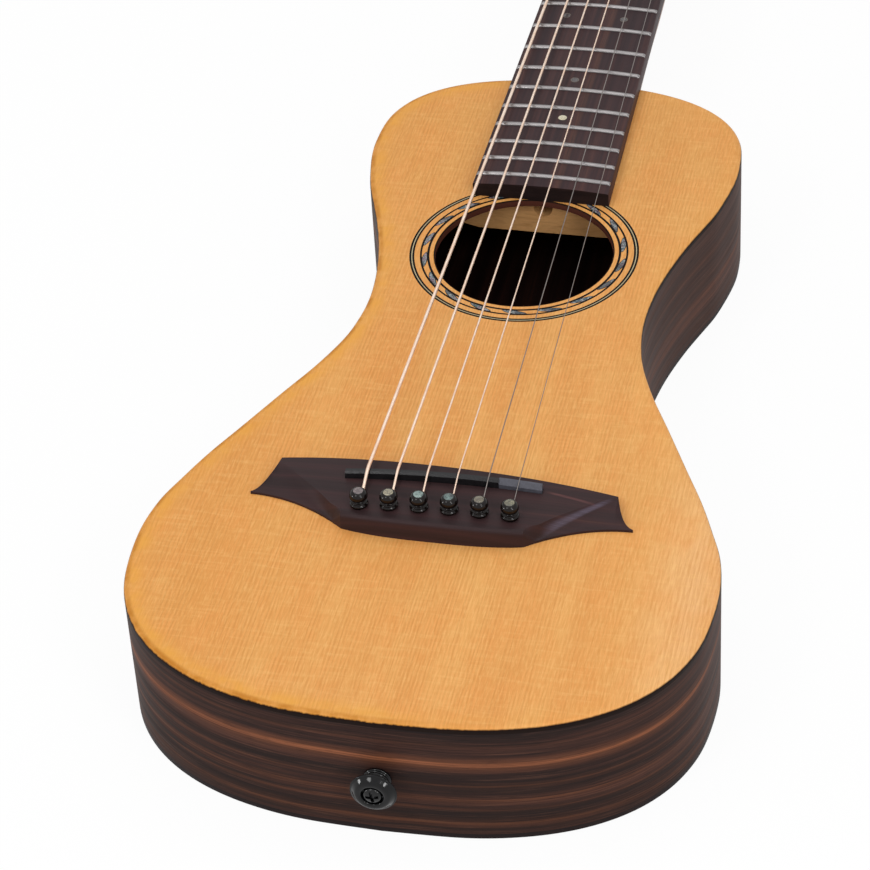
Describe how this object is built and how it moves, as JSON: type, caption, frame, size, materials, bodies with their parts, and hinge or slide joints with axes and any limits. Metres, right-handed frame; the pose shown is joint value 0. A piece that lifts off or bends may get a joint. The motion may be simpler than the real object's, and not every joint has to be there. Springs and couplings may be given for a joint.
{
  "type": "travel guitar",
  "caption": "Small pear-shaped steel-string travel guitar with a spruce top, striped ebony sides, a winged bridge, an abalone rosette and geared tuners.",
  "frame": {"origin": "on the flat underside of the back, on the centre line, below the saddle line (the far end of the scale length)", "axes": "+X across to the treble side, +Y along the centre line from the saddle towards the headstock, +Z out of the soundboard"},
  "size_m": [0.2108, 0.8803, 0.0678],
  "materials": {
    "spruce": "clear satin lacquer over honey-coloured spruce",
    "striped_ebony": "satin lacquer over dark striped ebony",
    "rosewood": "oiled dark rosewood",
    "pale_wood": "bare spruce and basswood",
    "mahogany": "satin lacquer over mahogany",
    "abalone": "polished shell inlay between black lines",
    "black_plastic": "polished black",
    "bronze_winding": "bright bronze winding",
    "plain_steel": "plain steel",
    "black_metal": "glossy black plated metal"
  },
  "bodies": {
    "guitar": {"soundboard": "spruce", "back": "striped_ebony", "side_bass": "striped_ebony", "side_treble": "striped_ebony", "bridge": "rosewood", "bridge_plate": "rosewood", "fingerboard": "rosewood", "headstock_veneer": "rosewood", "tail_block": "pale_wood", "neck_block": "pale_wood", "lining_top_bass": "pale_wood", "lining_top_treble": "pale_wood", "lining_back_bass": "pale_wood", "lining_back_treble": "pale_wood", "x_brace_bass": "pale_wood", "x_brace_treble": "pale_wood", "transverse_brace": "pale_wood", "back_brace_upper": "pale_wood", "back_brace_lower": "pale_wood", "neck": "mahogany", "rosette_inner_ring": "abalone", "rosette_outer_ring": "black_plastic", "saddle": "black_plastic", "nut": "black_plastic", "bridge_pin_1": "black_plastic", "bridge_pin_2": "black_plastic", "bridge_pin_3": "black_plastic", "bridge_pin_4": "black_plastic", "bridge_pin_5": "black_plastic", "bridge_pin_6": "black_plastic", "string_3": "bronze_winding", "string_4": "bronze_winding", "string_5": "bronze_winding", "string_6": "bronze_winding", "string_1": "plain_steel", "string_2": "plain_steel", "truss_rod": "plain_steel", "tuner_plate_bass": "black_metal", "tuner_plate_treble": "black_metal", "strap_button": "black_metal", "strap_button_screw": "black_metal", "tuner_bushing_1": "black_metal", "tuner_bushing_2": "black_metal", "tuner_bushing_3": "black_metal", "tuner_bushing_4": "black_metal", "tuner_bushing_5": "black_metal", "tuner_bushing_6": "black_metal"},
    "truss_rod_nut": {"truss_rod_nut": "plain_steel"},
    "tuner_knob_1": {"tuner_knob_1": "black_metal"},
    "tuner_post_1": {"tuner_post_1": "black_metal"},
    "tuner_knob_2": {"tuner_knob_2": "black_metal"},
    "tuner_post_2": {"tuner_post_2": "black_metal"},
    "tuner_knob_3": {"tuner_knob_3": "black_metal"},
    "tuner_post_3": {"tuner_post_3": "black_metal"},
    "tuner_knob_4": {"tuner_knob_4": "black_metal"},
    "tuner_post_4": {"tuner_post_4": "black_metal"},
    "tuner_knob_5": {"tuner_knob_5": "black_metal"},
    "tuner_post_5": {"tuner_post_5": "black_metal"},
    "tuner_knob_6": {"tuner_knob_6": "black_metal"},
    "tuner_post_6": {"tuner_post_6": "black_metal"}
  },
  "joints": [
    {"name": "truss_rod_nut_turn", "type": "hinge", "parent": "guitar", "child": "truss_rod_nut", "pos_m": [0, 0.2024, 0.0469], "axis": [0, 1, 0], "range_deg": [-180, 180]},
    {"name": "tuner_knob_1_turn", "type": "hinge", "parent": "guitar", "child": "tuner_knob_1", "pos_m": [0.021, 0.63958, 0.03086], "axis": [1, 0, 0], "continuous": true},
    {"name": "tuner_post_1_turn", "type": "hinge", "parent": "guitar", "child": "tuner_post_1", "pos_m": [0.021, 0.65001, 0.04552], "axis": [0, 0.2079, 0.9781], "continuous": true},
    {"name": "tuner_knob_2_turn", "type": "hinge", "parent": "guitar", "child": "tuner_knob_2", "pos_m": [0.021, 0.67675, 0.02296], "axis": [1, 0, 0], "continuous": true},
    {"name": "tuner_post_2_turn", "type": "hinge", "parent": "guitar", "child": "tuner_post_2", "pos_m": [0.021, 0.68718, 0.03761], "axis": [0, 0.2079, 0.9781], "continuous": true},
    {"name": "tuner_knob_3_turn", "type": "hinge", "parent": "guitar", "child": "tuner_knob_3", "pos_m": [0.021, 0.71392, 0.01506], "axis": [1, 0, 0], "continuous": true},
    {"name": "tuner_post_3_turn", "type": "hinge", "parent": "guitar", "child": "tuner_post_3", "pos_m": [0.021, 0.72435, 0.02971], "axis": [0, 0.2079, 0.9781], "continuous": true},
    {"name": "tuner_knob_4_turn", "type": "hinge", "parent": "guitar", "child": "tuner_knob_4", "pos_m": [-0.021, 0.71392, 0.01506], "axis": [1, 0, 0], "continuous": true},
    {"name": "tuner_post_4_turn", "type": "hinge", "parent": "guitar", "child": "tuner_post_4", "pos_m": [-0.021, 0.72435, 0.02971], "axis": [0, 0.2079, 0.9781], "continuous": true},
    {"name": "tuner_knob_5_turn", "type": "hinge", "parent": "guitar", "child": "tuner_knob_5", "pos_m": [-0.021, 0.67675, 0.02296], "axis": [1, 0, 0], "continuous": true},
    {"name": "tuner_post_5_turn", "type": "hinge", "parent": "guitar", "child": "tuner_post_5", "pos_m": [-0.021, 0.68718, 0.03761], "axis": [0, 0.2079, 0.9781], "continuous": true},
    {"name": "tuner_knob_6_turn", "type": "hinge", "parent": "guitar", "child": "tuner_knob_6", "pos_m": [-0.021, 0.63958, 0.03086], "axis": [1, 0, 0], "continuous": true},
    {"name": "tuner_post_6_turn", "type": "hinge", "parent": "guitar", "child": "tuner_post_6", "pos_m": [-0.021, 0.65001, 0.04552], "axis": [0, 0.2079, 0.9781], "continuous": true}
  ],
  "couplings": [
    {"joint": "tuner_knob_1_turn", "follows": "tuner_post_1_turn", "ratio": -14},
    {"joint": "tuner_knob_2_turn", "follows": "tuner_post_2_turn", "ratio": -14},
    {"joint": "tuner_knob_3_turn", "follows": "tuner_post_3_turn", "ratio": -14},
    {"joint": "tuner_knob_4_turn", "follows": "tuner_post_4_turn", "ratio": -14},
    {"joint": "tuner_knob_5_turn", "follows": "tuner_post_5_turn", "ratio": -14},
    {"joint": "tuner_knob_6_turn", "follows": "tuner_post_6_turn", "ratio": -14}
  ]
}
